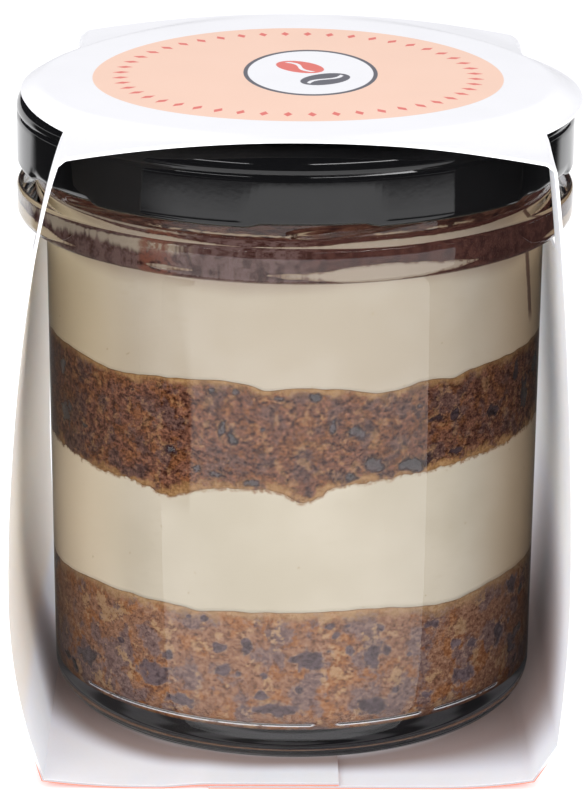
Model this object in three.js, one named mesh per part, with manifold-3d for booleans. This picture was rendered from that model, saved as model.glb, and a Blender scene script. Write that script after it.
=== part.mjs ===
// A single-serve tiramisu in a shut glass jar, held in a folded card sleeve.
// Millimetres, +Z up, front towards -Y. The origin is on the table, under the
// middle of the whole object.

import * as THREE from 'three';
import { mergeVertices } from 'three/addons/utils/BufferGeometryUtils.js';
import Module from 'manifold-3d';

const wasm = await Module();
wasm.setup();

// Card sleeve: one strip of board wrapped round the jar and glued under it.
const CARD = 0.44;
const SLEEVE_DEPTH = 86;
const EAR_RADIUS = 48.4;
const LEFT = {
  side: -1, ear: -42.4, fold: -33.8, droop: 0, shoulder: 0.65, belly: [-43.2, 31], tuck: 2,
  knee: [-40.3, 8.2], foot: [-38.2, 1.3],
};
const RIGHT = {
  side: 1, ear: 44.3, fold: 36, droop: 0.45, shoulder: 0.5, belly: [41.4, 31], tuck: 0,
  knee: [40.1, 7.1], foot: [36.4, 1.4],
};
const FLAP_EDGE = 6.8;
const LAP_END = -13;
const LAP_RISE = 8;
const FLAT_REACH = 22;
const GLUE = 0.08;
const TOP_HEIGHT = 101.25;
const TOP_FALL = 0.25;
const EAR_DROP = { from: 39.5, over: 4.6, by: 2.6 };
const CORNER_DROP = { from: 43, over: 9 };
const FOLD_CROWN = 1.2;
const CREASE = { out: 1.2, down: 1 };
const SIDE_CROWN = 0.3;
const HOLE_CORNER_HEIGHT = 82.3;
const HOLE_DROP = 5;

// Glass jar.
const JAR_BASE = 1.35;
const PUNT = { radius: 30, height: 1 };
const BODY_RADIUS = 38.8;
const BASE_RADIUS = 38.1;
const HEEL = 5.4;
const COLLAR_RADIUS = 43.3;
const COLLAR_BOTTOM = 79.2;
const COLLAR_EDGE = 1.9;
const COLLAR_TOP = 85.5;
const COLLAR_SLOPE = 0.35;
const COLLAR_ROUND = 0.8;
const NECK_RADIUS = 40.1;
const JAR_TOP = 98.1;
const BORE_RADIUS = 36.6;
const FLOOR_HEIGHT = 6.5;
const FLOOR_CORNER = 4.2;

// Twist-off lid.
const LID_RADIUS = 43.2;
const LID_BOTTOM = 88;
const LID_TOP = 99.8;
const LID_FLAT = 39.8;
const LID_SHOULDER = 3.1;
const TINPLATE = 0.8;
const LUGS = 6;
const LUG_BEARING = 3;
const LUG_WIDTH = 26;
const LUG_PRESS = { inwards: 0.4, up: 0.4 };

// Filling: each layer stands clear of the glass and of its neighbours.
const CLEAR = 0.4;
const FOOD_RADIUS = BORE_RADIUS - CLEAR;
const LEVEL = { spongeLower: 26.3, creamLower: 46.7, spongeUpper: 62.1, creamUpper: 80.9, cocoa: 84.4 };

const ROUND = 60;
const FOOD_ROUND = 72;
const DEGREE = Math.PI / 180;

const board = new THREE.MeshStandardMaterial({ color: 0xf4f4f7, roughness: 0.5, metalness: 0 });
const glass = new THREE.MeshStandardMaterial({
  color: 0xdfe6e4, roughness: 0.05, metalness: 0, transparent: true, opacity: 0.35,
});
const blackLacquer = new THREE.MeshStandardMaterial({ color: 0x18181a, roughness: 0.15, metalness: 0.6 });
const soakedSponge = new THREE.MeshStandardMaterial({ color: 0x8a5a36, roughness: 0.9, metalness: 0 });
const sponge = new THREE.MeshStandardMaterial({ color: 0x7a5540, roughness: 0.9, metalness: 0 });
const cream = new THREE.MeshStandardMaterial({ color: 0xd4cab8, roughness: 0.6, metalness: 0 });
const cocoaPowder = new THREE.MeshStandardMaterial({ color: 0x3f2420, roughness: 1, metalness: 0 });

const group = new THREE.Group();

function add(name, geometry, material) {
  const mesh = new THREE.Mesh(geometry, material);
  mesh.name = name;
  group.add(mesh);
}

function smooth(t) {
  const k = Math.min(1, Math.max(0, t));
  return k * k * (3 - 2 * k);
}

function lerp(a, b, t) {
  return a + (b - a) * t;
}

// Points of an arc from angle a to angle b, in degrees, without its first point.
function arc(centreX, centreY, radiusX, radiusY, a, b, steps) {
  const points = [];
  for (let i = 1; i <= steps; i += 1) {
    const angle = lerp(a, b, i / steps) * DEGREE;
    points.push([centreX + radiusX * Math.cos(angle), centreY + radiusY * Math.sin(angle)]);
  }
  return points;
}

// A profile of [radius, height] pairs turned about +Z.
function turned(profile, segments) {
  const points = profile.map(([r, z]) => new THREE.Vector2(r, z));
  const geometry = new THREE.LatheGeometry(points, segments);
  geometry.rotateX(Math.PI / 2);
  return geometry;
}

// Moves each vertex of a geometry by a function of its place.
function reshape(geometry, move) {
  const position = geometry.attributes.position;
  const p = new THREE.Vector3();
  for (let i = 0; i < position.count; i += 1) {
    p.fromBufferAttribute(position, i);
    move(p);
    position.setXYZ(i, p.x, p.y, p.z);
  }
  position.needsUpdate = true;
  return geometry;
}

// Degrees round the jar from its front, positive towards +X.
function bearing(p) {
  return Math.atan2(p.x, -p.y) / DEGREE;
}

// Shortest way from one bearing to another.
function turnBetween(a, b) {
  return ((a - b + 540) % 360) - 180;
}

// Glass jar: heel, straight body, rounded collar, neck and bore, in one wall.
function jarProfile() {
  const shoulder = COLLAR_TOP - COLLAR_SLOPE - COLLAR_ROUND;
  return [
    [0, JAR_BASE + PUNT.height],
    [PUNT.radius * 0.8, JAR_BASE + PUNT.height * 0.8],
    [PUNT.radius, JAR_BASE],
    [BASE_RADIUS - HEEL, JAR_BASE],
    ...arc(BASE_RADIUS - HEEL, JAR_BASE + HEEL, HEEL, HEEL, -90, 0, 5),
    [BODY_RADIUS, COLLAR_BOTTOM - 1.2],
    [BODY_RADIUS + 0.5, COLLAR_BOTTOM],
    [COLLAR_RADIUS - COLLAR_EDGE, COLLAR_BOTTOM + 0.2],
    ...arc(COLLAR_RADIUS - COLLAR_EDGE, COLLAR_BOTTOM + 0.2 + COLLAR_EDGE, COLLAR_EDGE, COLLAR_EDGE, -90, 0, 3),
    [COLLAR_RADIUS, shoulder],
    ...arc(COLLAR_RADIUS - COLLAR_ROUND, shoulder, COLLAR_ROUND, COLLAR_ROUND, 0, 75, 2),
    [NECK_RADIUS + 0.3, COLLAR_TOP],
    [NECK_RADIUS, COLLAR_TOP + 0.3],
    [NECK_RADIUS, JAR_TOP - 1],
    [NECK_RADIUS - 1, JAR_TOP],
    [BORE_RADIUS + 0.9, JAR_TOP],
    [BORE_RADIUS, JAR_TOP - 1],
    [BORE_RADIUS, FLOOR_HEIGHT + FLOOR_CORNER],
    ...arc(BORE_RADIUS - FLOOR_CORNER, FLOOR_HEIGHT + FLOOR_CORNER, FLOOR_CORNER, FLOOR_CORNER, 0, -90, 4),
    [0, FLOOR_HEIGHT],
  ];
}

// Twist-off lid: rolled rim at the foot, straight skirt, a shallow groove under
// the shoulder, and a panel set just below the rim of the top.
function lidProfile() {
  const skirtTop = LID_TOP - LID_SHOULDER;
  const inner = LID_RADIUS - TINPLATE;
  return [
    [0, LID_TOP - 0.5],
    [36.5, LID_TOP - 0.5],
    [38, LID_TOP],
    [LID_FLAT, LID_TOP],
    ...arc(LID_FLAT, skirtTop, LID_RADIUS - LID_FLAT, LID_SHOULDER, 90, 0, 4),
    [LID_RADIUS - 0.25, skirtTop - 0.5],
    [LID_RADIUS, skirtTop - 1],
    [LID_RADIUS, LID_BOTTOM + 1.7],
    [LID_RADIUS - 0.5, LID_BOTTOM + 0.5],
    [LID_RADIUS - 1.3, LID_BOTTOM],
    [LID_RADIUS - 2, LID_BOTTOM + 0.8],
    [LID_RADIUS - 1.8, LID_BOTTOM + 1.8],
    [inner, LID_BOTTOM + 2.4],
    [inner, skirtTop],
    [LID_RADIUS - 3, LID_TOP - 1.3],
    [0, LID_TOP - 1.3],
  ];
}

// The rolled rim is pressed inwards and up at each lug.
function pressLugs(p) {
  const reach = smooth((LID_BOTTOM + 2.2 - p.z) / 2);
  const offset = Math.abs(turnBetween((bearing(p) - LUG_BEARING) * LUGS, 0)) / LUGS;
  const inside = smooth((LUG_WIDTH / 2 - offset) / 4);
  const radius = Math.hypot(p.x, p.y);
  const pressed = 1 - (LUG_PRESS.inwards * reach * inside) / Math.max(radius, 1);
  p.x *= pressed;
  p.y *= pressed;
  p.z += LUG_PRESS.up * reach * inside;
}

// Sags of a layer's edge where it meets the glass: bearing, depth and half width.
function sags(list, at) {
  return list.reduce((sum, [place, depth, width]) => {
    const t = turnBetween(at, place) / width;
    return sum - depth * Math.exp(-t * t);
  }, 0);
}

const lowerSpongeEdge = (at) => 0.3 * Math.sin(3 * at * DEGREE + 0.6)
  + sags([[38, 1.2, 13], [-78, 1.4, 16], [-23, 0.5, 4], [125, 1.1, 12], [-150, 1.3, 11]], at);
const lowerCreamEdge = (at) => 1.7 * Math.sin((at - 8) * DEGREE)
  + sags([[-31, 2.1, 8], [2, 2.5, 5], [-50, 0.8, 9], [110, 1.6, 9], [-135, 1.8, 8], [170, 1.4, 7]], at);
const upperSpongeEdge = (at) => sags(
  [[-48, 0.8, 9], [-18, -0.7, 9], [-7, 0.6, 3], [21, 1.3, 8], [39, 0.7, 4], [120, 1, 12], [-120, 0.9, 10]],
  at,
);
const upperCreamEdge = (at) => 0.2 * Math.sin(2 * at * DEGREE) + sags([[-48, 1, 22], [55, 1.5, 24]], at);
const cocoaEdge = (at) => 0.4 * Math.sin(3 * at * DEGREE + 1) + 0.3 * Math.sin(5 * at * DEGREE);

// Height of a boundary between layers: level in the middle, uneven at the glass.
function boundary(level, edge) {
  return (p) => level + edge(bearing(p)) * (Math.hypot(p.x, p.y) / FOOD_RADIUS) ** 2;
}

// The lowest layer follows the glass floor and its rounded corner.
function floorHeight(p) {
  const beyond = Math.max(0, Math.hypot(p.x, p.y) - (FOOD_RADIUS - FLOOR_CORNER));
  const rise = FLOOR_CORNER - Math.sqrt(Math.max(0, FLOOR_CORNER ** 2 - beyond ** 2));
  return FLOOR_HEIGHT + CLEAR / 2 + rise;
}

// A disc of food between two boundaries, half the clearance inside each.
function layer(bottom, top, rings) {
  const down = rings.map((r) => [r, 0]);
  const back = [...rings].reverse().map((r) => [r, 1]);
  return reshape(turned([...down, ...back], FOOD_ROUND), (p) => {
    const low = bottom(p) + CLEAR / 2;
    const high = top(p) - CLEAR / 2;
    p.z = lerp(low, high, p.z);
  });
}

const lowerSpongeTop = boundary(LEVEL.spongeLower, lowerSpongeEdge);
const lowerCreamTop = boundary(LEVEL.creamLower, lowerCreamEdge);
const upperSpongeTop = boundary(LEVEL.spongeUpper, upperSpongeEdge);
const upperCreamTop = boundary(LEVEL.creamUpper, upperCreamEdge);
const cocoaTop = boundary(LEVEL.cocoa, cocoaEdge);
const RINGS = [0, 24, FOOD_RADIUS];
const FLOOR_RINGS = [0, 20, 32, 34.4, 35.7, FOOD_RADIUS];

// How far a place is from the open ends of the sleeve: 1 midway, 0 at an end.
function inwards(y) {
  return 1 - Math.min(1, (2 * Math.abs(y)) / SLEEVE_DEPTH) ** 2;
}

// Height of the sleeve's top panel: it rests on the lid's flat top and bends down
// where the lid no longer holds it up, at its ears and at its four corners.
function topHeight(x, y) {
  const { fold, droop } = x < 0 ? LEFT : RIGHT;
  const across = Math.min(1, (x / fold) ** 2);
  const radius = Math.hypot(x, y);
  const ear = EAR_DROP.by * smooth((radius - EAR_DROP.from) / EAR_DROP.over);
  const corner = droop * smooth((radius - CORNER_DROP.from) / CORNER_DROP.over);
  return TOP_HEIGHT - across * (TOP_FALL + ear + corner);
}

// The fold between the top and a side bows outwards a little.
function foldX(panel, y) {
  return panel.fold + panel.side * FOLD_CROWN * inwards(y);
}

function creaseHeight(panel, y) {
  return topHeight(foldX(panel, y), y) - CREASE.down;
}

// Rim of the round ear of a panel.
function earRim(panel, y) {
  return panel.ear - panel.side * (EAR_RADIUS - Math.sqrt(EAR_RADIUS ** 2 - y ** 2));
}

// Half width of the hole in a side panel, where the rim of its ear meets the fold.
function holeHalf(panel) {
  let low = 0;
  let high = EAR_RADIUS;
  for (let i = 0; i < 30; i += 1) {
    const middle = (low + high) / 2;
    if ((earRim(panel, middle) - foldX(panel, middle)) * panel.side > 0) low = middle;
    else high = middle;
  }
  return low;
}

// Places across the depth of the sleeve, with the edges of the hole among them.
const STRIP_STEPS = 5;
const HOLE_STEPS = 12;
function columns(panel) {
  const half = holeHalf(panel);
  const edge = SLEEVE_DEPTH / 2;
  const list = [];
  for (let i = 0; i < STRIP_STEPS; i += 1) list.push(lerp(-edge, -half, i / STRIP_STEPS));
  for (let i = 0; i <= HOLE_STEPS; i += 1) list.push(-half * Math.cos((Math.PI * i) / HOLE_STEPS));
  for (let i = 1; i <= STRIP_STEPS; i += 1) list.push(lerp(half, edge, i / STRIP_STEPS));
  return list;
}

// Section of a side panel from its knee crease, over the belly, to the crease that
// runs just outside the fold and turns it down. The pulls say how far each end of
// the curve runs on before it bends. The belly is tucked in towards the back.
const PULL = { belowBelly: 12, aboveBelly: 19, belowCrease: 15 };
function sideCurve(panel, y) {
  const [kneeX, kneeZ] = panel.knee;
  const [bellyX, bellyZ] = panel.belly;
  const tuck = panel.tuck * smooth((2 * y) / SLEEVE_DEPTH);
  const beltX = bellyX + panel.side * (SIDE_CROWN * inwards(y) - tuck);
  const creaseX = panel.fold + panel.side * CREASE.out;
  const creaseZ = creaseHeight(panel, y);
  const curve = new THREE.CurvePath();
  curve.add(new THREE.QuadraticBezierCurve(
    new THREE.Vector2(kneeX, kneeZ),
    new THREE.Vector2(beltX, bellyZ - PULL.belowBelly),
    new THREE.Vector2(beltX, bellyZ),
  ));
  curve.add(new THREE.CubicBezierCurve(
    new THREE.Vector2(beltX, bellyZ),
    new THREE.Vector2(beltX, bellyZ + PULL.aboveBelly),
    new THREE.Vector2(lerp(creaseX, beltX, panel.shoulder), creaseZ - PULL.belowCrease),
    new THREE.Vector2(creaseX, creaseZ),
  ));
  return curve;
}

// Place on a side panel at a height.
function sidePoint(panel, y, height) {
  const curve = sideCurve(panel, y);
  let low = 0;
  let high = 1;
  for (let i = 0; i < 24; i += 1) {
    const middle = (low + high) / 2;
    if (curve.getPoint(middle).y < height) low = middle;
    else high = middle;
  }
  return new THREE.Vector3(curve.getPoint(low).x, y, height);
}

const ROWS = { flap: 6, side: 9, strip: 5, top: 14, ear: 4 };

// One row of points for each step along the strip of board. Rows beside the hole
// leave out the places between its edges.
function sidePanelRows(panel) {
  const half = holeHalf(panel);
  const places = columns(panel);
  const rows = [];
  for (let i = 0; i <= ROWS.side; i += 1) {
    rows.push(places.map((y) => {
      const inHole = Math.max(0, 1 - (y / half) ** 2);
      const end = HOLE_CORNER_HEIGHT - HOLE_DROP * Math.sqrt(inHole);
      return sidePoint(panel, y, lerp(panel.knee[1], end, i / ROWS.side));
    }));
  }
  for (let i = 1; i <= ROWS.strip; i += 1) {
    rows.push(places.map((y) => {
      if (Math.abs(y) < half - 0.01) return null;
      return sidePoint(panel, y, lerp(HOLE_CORNER_HEIGHT, creaseHeight(panel, y), i / ROWS.strip));
    }));
  }
  rows.push(places.map((y) => {
    if (Math.abs(y) < half - 0.01) return null;
    return new THREE.Vector3(foldX(panel, y), y, topHeight(foldX(panel, y), y));
  }));
  return rows;
}

function topRows() {
  const left = columns(LEFT);
  const right = columns(RIGHT);
  const rows = [];
  for (let i = 0; i <= ROWS.top; i += 1) {
    const t = 0.5 - 0.5 * Math.cos((Math.PI * i) / ROWS.top);
    rows.push(left.map((y, k) => {
      const x = lerp(foldX(LEFT, y), foldX(RIGHT, right[k]), t);
      const place = lerp(y, right[k], t);
      return new THREE.Vector3(x, place, topHeight(x, place));
    }));
  }
  return rows;
}

// The round ear that lies on the lid outside the fold.
function earRows(panel) {
  const half = holeHalf(panel);
  const rows = [];
  for (let i = 0; i <= ROWS.ear; i += 1) {
    rows.push(columns(panel).map((y) => {
      if (Math.abs(y) > half + 0.01) return null;
      const inner = foldX(panel, y);
      const outer = Math.abs(y) > half - 0.01 ? inner : earRim(panel, y);
      const x = lerp(inner, outer, i / ROWS.ear);
      return new THREE.Vector3(x, y, topHeight(x, y));
    }));
  }
  return rows;
}

// A bottom flap from its cut edge to the foot crease. The left flap lies over the
// right one, and both lift a little where they reach the crease.
function flapRows(panel, cutEdge, over) {
  const [footX, footZ] = panel.foot;
  const rows = [];
  for (let i = 0; i <= ROWS.flap; i += 1) {
    const x = lerp(cutEdge, footX, i / ROWS.flap);
    const beyond = Math.max(0, (Math.abs(x) - FLAT_REACH) / (Math.abs(footX) - FLAT_REACH));
    const lift = (footZ - CARD / 2) * beyond ** 2;
    const stacked = over * (CARD + GLUE) * smooth((x - LAP_END + LAP_RISE) / LAP_RISE);
    rows.push(columns(panel).map((y) => new THREE.Vector3(x, y, CARD / 2 + stacked + lift)));
  }
  return rows;
}

// Triangles of the board's middle surface, from rows of points that share places.
// Each four-sided cell is split along its higher diagonal, so that it bends outwards.
function middleSurface(sheets) {
  const points = [];
  const found = new Map();
  const triangles = [];
  function index(p) {
    const key = [p.x, p.y, p.z].map((v) => Math.round(v * 1000)).join(' ');
    if (!found.has(key)) {
      found.set(key, points.length);
      points.push(p);
    }
    return found.get(key);
  }
  function triangle(a, b, c) {
    if (a !== b && b !== c && c !== a) triangles.push([a, b, c]);
  }
  sheets.forEach(({ rows, flip }) => {
    for (let i = 0; i + 1 < rows.length; i += 1) {
      for (let k = 0; k + 1 < rows[i].length; k += 1) {
        const corners = [rows[i][k], rows[i + 1][k], rows[i + 1][k + 1], rows[i][k + 1]];
        if (corners.every((p) => p !== null)) {
          const ring = corners.map(index);
          const otherDiagonal = corners[0].z + corners[2].z < corners[1].z + corners[3].z;
          if (flip) ring.reverse();
          if (otherDiagonal !== flip) ring.push(ring.shift());
          const [a, b, c, d] = ring;
          triangle(a, b, c);
          triangle(a, c, d);
        }
      }
    }
  });
  return { points, triangles };
}

// Gives a middle surface the thickness of the board and closes its cut edges.
function thicken({ points, triangles }, thickness) {
  const normals = points.map(() => new THREE.Vector3());
  triangles.forEach(([a, b, c]) => {
    const normal = new THREE.Vector3()
      .subVectors(points[b], points[a])
      .cross(new THREE.Vector3().subVectors(points[c], points[a]))
      .normalize();
    [a, b, c].forEach((i) => normals[i].add(normal));
  });
  const position = [];
  const shift = (p, normal, side) => {
    const q = normal.clone().normalize().multiplyScalar((side * thickness) / 2).add(p);
    position.push(q.x, q.y, q.z);
  };
  points.forEach((p, i) => shift(p, normals[i], 1));
  points.forEach((p, i) => shift(p, normals[i], -1));
  const count = points.length;
  const faces = [];
  const edges = new Map();
  triangles.forEach(([a, b, c]) => {
    faces.push(a, b, c, a + count, c + count, b + count);
    [[a, b], [b, c], [c, a]].forEach(([from, to]) => edges.set(`${from} ${to}`, [from, to]));
  });
  edges.forEach(([from, to]) => {
    if (edges.has(`${to} ${from}`)) return;
    faces.push(from, from + count, to + count, from, to + count, to);
  });
  const geometry = new THREE.BufferGeometry();
  geometry.setAttribute('position', new THREE.Float32BufferAttribute(position, 3));
  geometry.setIndex(faces);
  return geometry;
}

// A closed geometry as a solid that can be joined to others.
function solid(geometry) {
  const bare = new THREE.BufferGeometry();
  bare.setAttribute('position', geometry.attributes.position);
  bare.setIndex(geometry.index);
  const merged = mergeVertices(bare, 0.001);
  return new wasm.Manifold(new wasm.Mesh({
    numProp: 3,
    vertProperties: merged.attributes.position.array,
    triVerts: new Uint32Array(merged.index.array),
  }));
}

function geometryOf(joined) {
  const { vertProperties, triVerts } = joined.getMesh();
  const geometry = new THREE.BufferGeometry();
  geometry.setAttribute('position', new THREE.Float32BufferAttribute(vertProperties, 3));
  geometry.setIndex([...triVerts]);
  return geometry;
}

// The strip of glue that holds the left flap down on the right one.
function glueStrip() {
  const width = FLAP_EDGE - LAP_END - 6;
  const strip = new THREE.BoxGeometry(width, SLEEVE_DEPTH - 8, CARD);
  strip.translate((FLAP_EDGE + LAP_END) / 2, 0, CARD + GLUE / 2);
  return strip;
}

function cardSleeve() {
  const leftSide = sidePanelRows(LEFT);
  const rightSide = sidePanelRows(RIGHT);
  const leftFlap = flapRows(LEFT, FLAP_EDGE, 1);
  const rightFlap = flapRows(RIGHT, LAP_END, 0);
  const strip = thicken(middleSurface([
    { rows: [...leftFlap, ...leftSide], flip: false },
    { rows: topRows(), flip: false },
    { rows: earRows(LEFT), flip: true },
    { rows: earRows(RIGHT), flip: false },
    { rows: [...rightFlap, ...rightSide], flip: true },
  ]), CARD);
  return geometryOf(solid(strip).add(solid(glueStrip())));
}

add('glass_jar', turned(jarProfile(), ROUND), glass);
add('lid', reshape(turned(lidProfile().reverse(), ROUND), pressLugs), blackLacquer);
add('card_sleeve', cardSleeve(), board);
add('sponge_lower', layer(floorHeight, lowerSpongeTop, FLOOR_RINGS), soakedSponge);
add('cream_lower', layer(lowerSpongeTop, lowerCreamTop, RINGS), cream);
add('sponge_upper', layer(lowerCreamTop, upperSpongeTop, RINGS), sponge);
add('cream_upper', layer(upperSpongeTop, upperCreamTop, RINGS), cream);
add('cocoa_layer', layer(upperCreamTop, cocoaTop, RINGS), cocoaPowder);

export default group;
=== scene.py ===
import math

import bpy
import numpy as np
from mathutils import Matrix, Vector, noise


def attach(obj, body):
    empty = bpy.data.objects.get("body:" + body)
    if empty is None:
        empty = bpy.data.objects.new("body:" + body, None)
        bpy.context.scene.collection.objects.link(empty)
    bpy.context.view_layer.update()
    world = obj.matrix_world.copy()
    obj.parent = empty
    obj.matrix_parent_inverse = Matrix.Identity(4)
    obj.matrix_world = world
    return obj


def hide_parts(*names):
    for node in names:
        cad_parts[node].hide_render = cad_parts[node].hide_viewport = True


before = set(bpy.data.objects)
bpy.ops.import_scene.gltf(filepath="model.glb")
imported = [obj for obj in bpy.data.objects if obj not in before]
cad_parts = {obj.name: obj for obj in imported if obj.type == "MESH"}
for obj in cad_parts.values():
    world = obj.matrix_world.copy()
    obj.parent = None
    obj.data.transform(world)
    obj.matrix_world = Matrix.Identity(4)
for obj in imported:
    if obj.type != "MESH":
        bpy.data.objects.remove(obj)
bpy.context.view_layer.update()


# GLASS JAR
# Soda glass with a thick foot, a straight wall and a rounded collar below the lid.
# It is blown in a two-part mould, which leaves a fine upright seam on two sides. Six
# short ramps round its neck take the lugs of the lid.
JAR_BASE = 1.35
PUNT_RADIUS, PUNT_HEIGHT = 30.0, 1.0
BASE_RADIUS, BODY_RADIUS, HEEL = 38.1, 38.8, 5.4
COLLAR_RADIUS, COLLAR_BOTTOM, COLLAR_EDGE = 43.3, 79.2, 1.9
COLLAR_TOP, COLLAR_SLOPE, COLLAR_ROUND = 85.5, 0.35, 0.8
NECK_RADIUS, JAR_TOP, BORE_RADIUS = 40.1, 98.1, 36.6
FLOOR_HEIGHT, FLOOR_CORNER = 6.5, 4.2
SEAM_BEARINGS, SEAM_WIDTH, SEAM_ON_WALL, SEAM_ON_COLLAR = (-38.0, 142.0), 0.35, 0.12, 0.08
RAMPS, RAMP_START, RAMP_TURN, RAMP_LOW, RAMP_RISE = 6, -1.0, 38.0, 86.3, 2.2
RAMP_HEIGHT, RAMP_HALF = 0.5, 0.4
BEARINGS = 240


def arc(centre_r, centre_z, across, start, end, steps, up=None):
    """Points of an arc in a profile, without its first one, from one angle to another."""
    turns = np.radians(np.linspace(start, end, steps + 1)[1:])
    return [(centre_r + across * math.cos(a), centre_z + (up or across) * math.sin(a)) for a in turns]


def round_about(finer_at=()):
    """Bearings in degrees round the jar from its front, closer together at a few places."""
    turn = np.linspace(-180, 180, BEARINGS, endpoint=False)
    extra = [a + np.linspace(-1.6, 1.6, 8) for a in finer_at]
    return np.unique(np.round(np.concatenate([turn, *extra]), 4))


def turned(profile, bearings, shift):
    """Points and faces of a profile of (radius, height) turned about the upright axis."""
    profile = np.array(profile)
    at = np.radians(bearings)
    radius = np.repeat(profile[:, :1], len(at), 1)
    height = np.repeat(profile[:, 1:], len(at), 1)
    radius = radius + shift(radius, height, bearings[None, :])
    grid = np.stack([radius * np.sin(at), -radius * np.cos(at), height], 2)
    return closed_skin(grid, profile[0][1], profile[-1][1])


def closed_skin(grid, first_height, last_height):
    """A grid of rings, wrapped round and shut at both ends by a point on the axis."""
    rows, count = grid.shape[:2]
    points = np.concatenate([grid.reshape(-1, 3), [[0, 0, first_height], [0, 0, last_height]]])
    k = np.arange(count)
    after = (k + 1) % count
    faces = []
    for row in range(rows - 1):
        low, high = row * count, (row + 1) * count
        faces += np.stack([low + k, low + after, high + after, high + k], 1).tolist()
    start, end = rows * count, rows * count + 1
    faces += np.stack([after, k, np.full(count, start)], 1).tolist()
    last = (rows - 1) * count
    faces += np.stack([last + k, last + after, np.full(count, end)], 1).tolist()
    return points, faces


def placed(name, data):
    """Puts a mesh, a lamp or a camera in the scene."""
    made = bpy.data.objects.new(name, data)
    bpy.context.scene.collection.objects.link(made)
    return made


def mesh_of(name, points, faces, materials):
    mesh = bpy.data.meshes.new(name)
    mesh.from_pydata(points, [], faces)
    for material in materials:
        mesh.materials.append(material)
    return mesh


def piece(name, points, faces, materials, node, crease=50, marks=None, face_material=None):
    """Makes a mesh piece in metres from points in millimetres and puts it on the frame."""
    mesh = mesh_of(name, (np.asarray(points, float) / 1000).tolist(), faces, materials)
    if face_material is not None:
        mesh.polygons.foreach_set("material_index", face_material)
    for label, values in (marks or {}).items():
        mark = mesh.attributes.new(label, "FLOAT", "POINT")
        mark.data.foreach_set("value", np.asarray(values, np.float32))
    mesh.shade_smooth()
    mesh.set_sharp_from_angle(angle=math.radians(crease))
    made = placed(name, mesh)
    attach(made, "root")
    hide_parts(node)


class Wire:
    """A socket in a material's tree. Sums on it add Math nodes, and node adds any other."""

    def __init__(self, tree, socket=None):
        self.tree = tree
        self.socket = socket

    def node(self, kind, settings=None, sockets=None, output=0):
        made = self.tree.nodes.new(kind)
        for name, value in (settings or {}).items():
            setattr(made, name, value)
        for name, value in (sockets or {}).items():
            socket = made.inputs[name]
            if isinstance(value, Wire):
                self.tree.links.new(value.socket, socket)
            elif socket.type == "RGBA":
                socket.default_value = (*value, 1)
            else:
                socket.default_value = value
        return Wire(self.tree, made.outputs[output] if made.outputs else None)

    def math(self, operation, *others):
        sockets = dict(enumerate((self, *others)))
        return self.node("ShaderNodeMath", {"operation": operation}, sockets)

    def __add__(self, other):
        return self.math("ADD", other)

    __radd__ = __add__

    def __mul__(self, other):
        return self.math("MULTIPLY", other)

    __rmul__ = __mul__

    def __sub__(self, other):
        return self.math("SUBTRACT", other)

    def __rsub__(self, other):
        return self.node("ShaderNodeMath", {"operation": "SUBTRACT"}, {0: other, 1: self})

    def __truediv__(self, other):
        return self.math("DIVIDE", other)

    def __pow__(self, other):
        return self.math("POWER", other)

    def __abs__(self):
        return self.math("ABSOLUTE")

    def rise(self, low, high):
        """0 below low, 1 above high, and a soft step between."""
        settings = {"interpolation_type": "SMOOTHSTEP"}
        return self.node("ShaderNodeMapRange", settings, {"Value": self, "From Min": low, "From Max": high})

    def between(self, nothing, full):
        """The colour between two colours, this socket being the share of the second."""
        return self.node("ShaderNodeMix", {"data_type": "RGBA"}, {0: self, 6: nothing, 7: full}, 2)

    def clouds(self, size, detail=3.0, roughness=0.5, offset=(0, 0, 0), stretch=(1, 1, 1)):
        """Soft noise on a place in millimetres, with blotches about this many across."""
        scaled = self.node("ShaderNodeVectorMath", {"operation": "MULTIPLY"}, {0: self, 1: stretch})
        moved = self.node("ShaderNodeVectorMath", {"operation": "ADD"}, {0: scaled, 1: offset})
        sockets = {"Vector": moved, "Scale": 1 / size, "Detail": detail, "Roughness": roughness}
        return self.node("ShaderNodeTexNoise", {}, sockets)

    def parts(self):
        """The x, y and z of a vector."""
        return [self.node("ShaderNodeSeparateXYZ", {}, {0: self}, k) for k in range(3)]

    def mark(self, label):
        """A value that the mesh carries at its points."""
        return self.node("ShaderNodeAttribute", {"attribute_name": label}, output=2)

    def ray(self, kind):
        """1 where a ray of this kind looks at the surface, and 0 where another does."""
        kinds = ("camera", "shadow", "diffuse", "glossy")
        return self.node("ShaderNodeLightPath", output=kinds.index(kind))


def new_material(name):
    """A new material: itself, an empty wire to build on, and the place in millimetres."""
    material = bpy.data.materials.new(name)
    material.use_nodes = True
    material.node_tree.nodes.clear()
    start = Wire(material.node_tree)
    place = start.node("ShaderNodeTexCoord", output=3)
    place = start.node("ShaderNodeVectorMath", {"operation": "SCALE"}, {0: place, "Scale": 1000.0})
    return material, start, place


def cover(start, shader):
    """Joins a shader to the surface of its material."""
    start.node("ShaderNodeOutputMaterial", {}, {"Surface": shader})


def coat(start, base, roughness, relief, strength, depth, more=None):
    """A shader with a fine relief, its depth in metres, and any more of its sockets."""
    bump = start.node("ShaderNodeBump", {}, {"Strength": strength, "Distance": depth, "Height": relief})
    sockets = {"Base Color": base, "Roughness": roughness, "Normal": bump, **(more or {})}
    return start.node("ShaderNodeBsdfPrincipled", {}, sockets)


def srgb(*colour):
    """A colour as seen on a screen, 0 to 255, as light."""
    return tuple(c / 255 / 12.92 if c <= 10 else ((c / 255 + 0.055) / 1.055) ** 2.4 for c in colour)


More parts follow.
